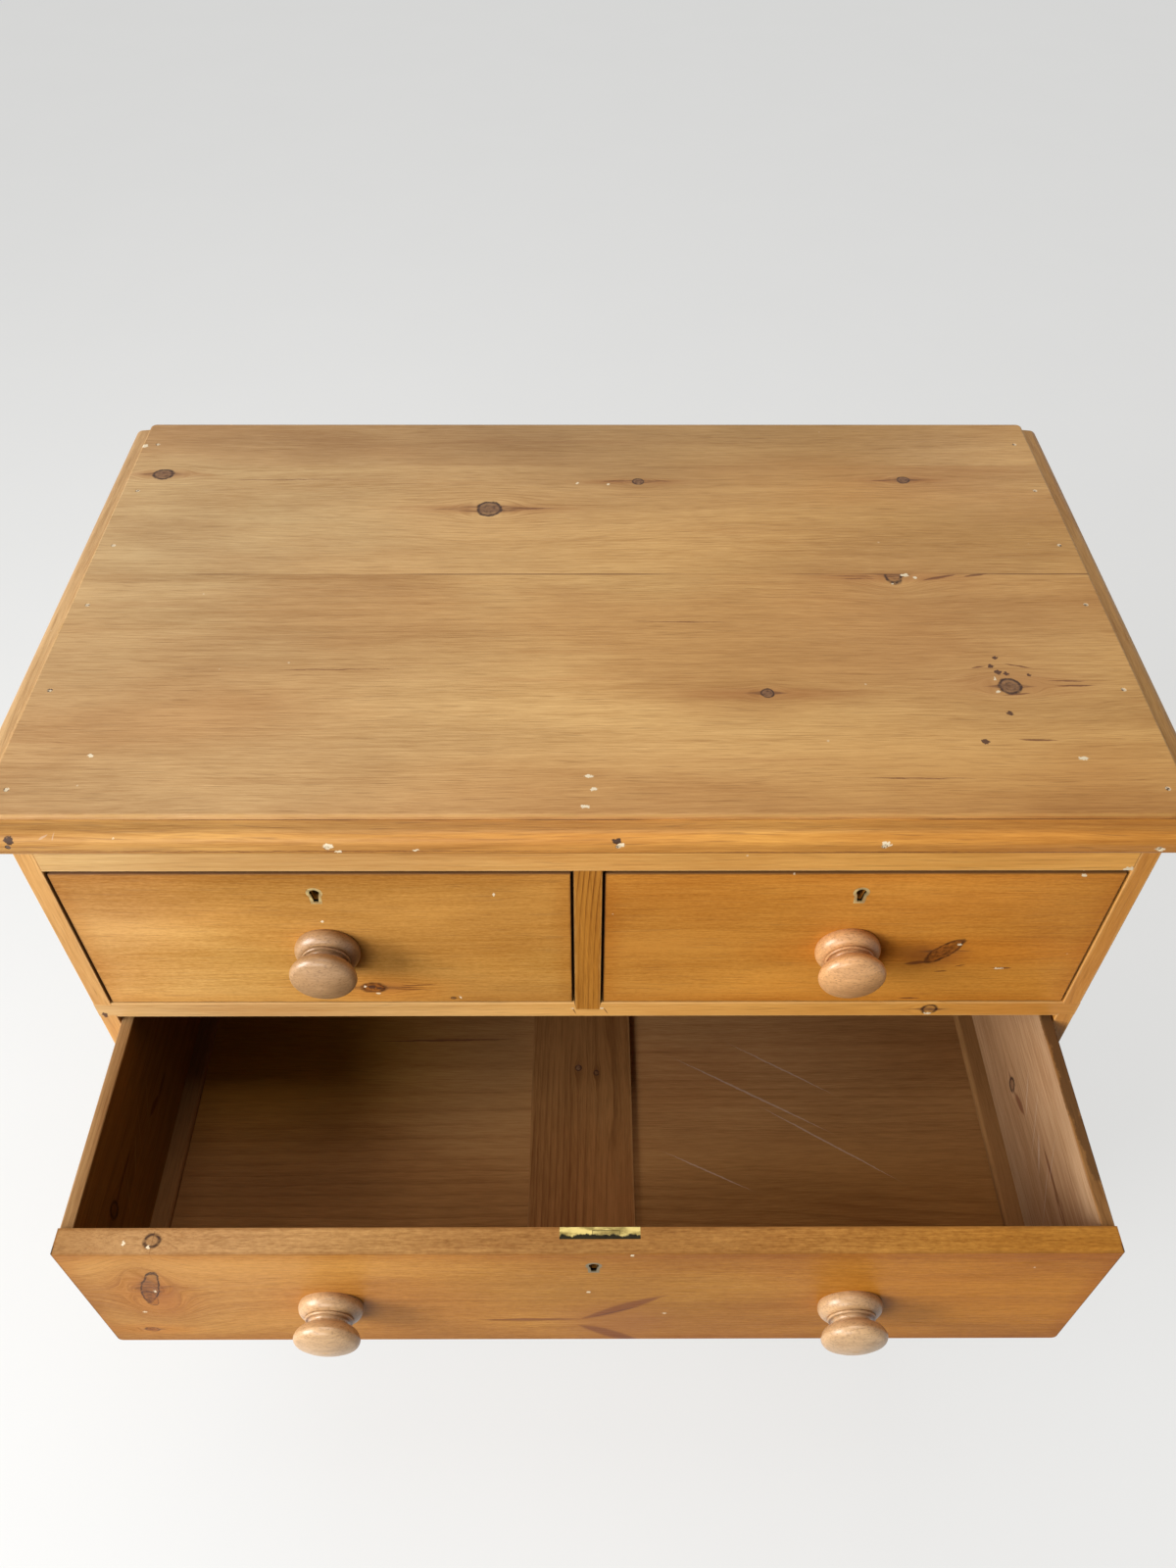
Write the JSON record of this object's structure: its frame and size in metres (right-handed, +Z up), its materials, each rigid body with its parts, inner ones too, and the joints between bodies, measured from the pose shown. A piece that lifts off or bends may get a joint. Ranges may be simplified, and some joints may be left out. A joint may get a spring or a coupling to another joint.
{
  "type": "chest of drawers",
  "caption": "Waxed pine chest of drawers with short drawers over long ones, turned wooden knobs, brass locks, a planted top moulding and turned feet.",
  "frame": {"origin": "middle of the overall footprint on the floor, as stored with the top long drawer pulled out", "axes": "+Z up, +Y from the drawer fronts to the back, +X to the right seen from the front"},
  "size_m": [0.952, 0.803, 1.046],
  "materials": {
    "pine_top": "waxed",
    "pine_case": "waxed",
    "pine_front": "waxed",
    "pine_inside": "bare",
    "beech_knob": "satin",
    "lock_brass": "aged",
    "lock_steel": "dull",
    "filled_nails": "filled over"
  },
  "bodies": {
    "carcase": {"top_boards": "pine_top", "moulding_front": "pine_top", "moulding_sides": "pine_top", "side_left": "pine_case", "side_right": "pine_case", "top_rail": "pine_case", "rail_upper": "pine_case", "rail_middle": "pine_case", "rail_lower": "pine_case", "bottom_board": "pine_case", "centre_divider": "pine_case", "centre_guide": "pine_inside", "runners_and_kickers": "pine_inside", "drawer_stops": "pine_inside", "back_boards": "pine_inside", "feet": "pine_case", "nails": "filled_nails"},
    "drawer_short_left": {"short_left_front": "pine_front", "short_left_sides": "pine_inside", "short_left_back": "pine_inside", "short_left_bottom": "pine_inside", "short_left_slips": "pine_inside", "short_left_knobs": "beech_knob", "short_left_lock": "lock_brass"},
    "bolt_short_left": {"short_left_lock_bolt": "lock_steel"},
    "drawer_short_right": {"short_right_front": "pine_front", "short_right_sides": "pine_inside", "short_right_back": "pine_inside", "short_right_bottom": "pine_inside", "short_right_slips": "pine_inside", "short_right_knobs": "beech_knob", "short_right_lock": "lock_brass"},
    "bolt_short_right": {"short_right_lock_bolt": "lock_steel"},
    "drawer_long_top": {"long_top_front": "pine_front", "long_top_sides": "pine_inside", "long_top_back": "pine_inside", "long_top_bottom": "pine_inside", "long_top_slips": "pine_inside", "long_top_knobs": "beech_knob", "long_top_lock": "lock_brass", "long_top_muntin": "pine_inside"},
    "bolt_long_top": {"long_top_lock_bolt": "lock_steel"},
    "drawer_long_middle": {"long_middle_front": "pine_front", "long_middle_sides": "pine_inside", "long_middle_back": "pine_inside", "long_middle_bottom": "pine_inside", "long_middle_slips": "pine_inside", "long_middle_knobs": "beech_knob", "long_middle_lock": "lock_brass", "long_middle_muntin": "pine_inside"},
    "bolt_long_middle": {"long_middle_lock_bolt": "lock_steel"},
    "drawer_long_bottom": {"long_bottom_front": "pine_front", "long_bottom_sides": "pine_inside", "long_bottom_back": "pine_inside", "long_bottom_bottom": "pine_inside", "long_bottom_slips": "pine_inside", "long_bottom_knobs": "beech_knob", "long_bottom_lock": "lock_brass", "long_bottom_muntin": "pine_inside"},
    "bolt_long_bottom": {"long_bottom_lock_bolt": "lock_steel"}
  },
  "joints": [
    {"name": "short_left_slide", "type": "slide", "parent": "carcase", "child": "drawer_short_left", "axis": [0, -1, 0], "range_m": [0, 0.4]},
    {"name": "short_left_bolt_slide", "type": "slide", "parent": "drawer_short_left", "child": "bolt_short_left", "axis": [0, 0, 1], "range_m": [0, 0.009]},
    {"name": "short_right_slide", "type": "slide", "parent": "carcase", "child": "drawer_short_right", "axis": [0, -1, 0], "range_m": [0, 0.4]},
    {"name": "short_right_bolt_slide", "type": "slide", "parent": "drawer_short_right", "child": "bolt_short_right", "axis": [0, 0, 1], "range_m": [0, 0.009]},
    {"name": "long_top_slide", "type": "slide", "parent": "carcase", "child": "drawer_long_top", "axis": [0, -1, 0], "range_m": [-0.22, 0.18]},
    {"name": "long_top_bolt_slide", "type": "slide", "parent": "drawer_long_top", "child": "bolt_long_top", "axis": [0, 0, 1], "range_m": [0, 0.009]},
    {"name": "long_middle_slide", "type": "slide", "parent": "carcase", "child": "drawer_long_middle", "axis": [0, -1, 0], "range_m": [0, 0.4]},
    {"name": "long_middle_bolt_slide", "type": "slide", "parent": "drawer_long_middle", "child": "bolt_long_middle", "axis": [0, 0, 1], "range_m": [0, 0.009]},
    {"name": "long_bottom_slide", "type": "slide", "parent": "carcase", "child": "drawer_long_bottom", "axis": [0, -1, 0], "range_m": [0, 0.4]},
    {"name": "long_bottom_bolt_slide", "type": "slide", "parent": "drawer_long_bottom", "child": "bolt_long_bottom", "axis": [0, 0, 1], "range_m": [0, 0.009]}
  ]
}
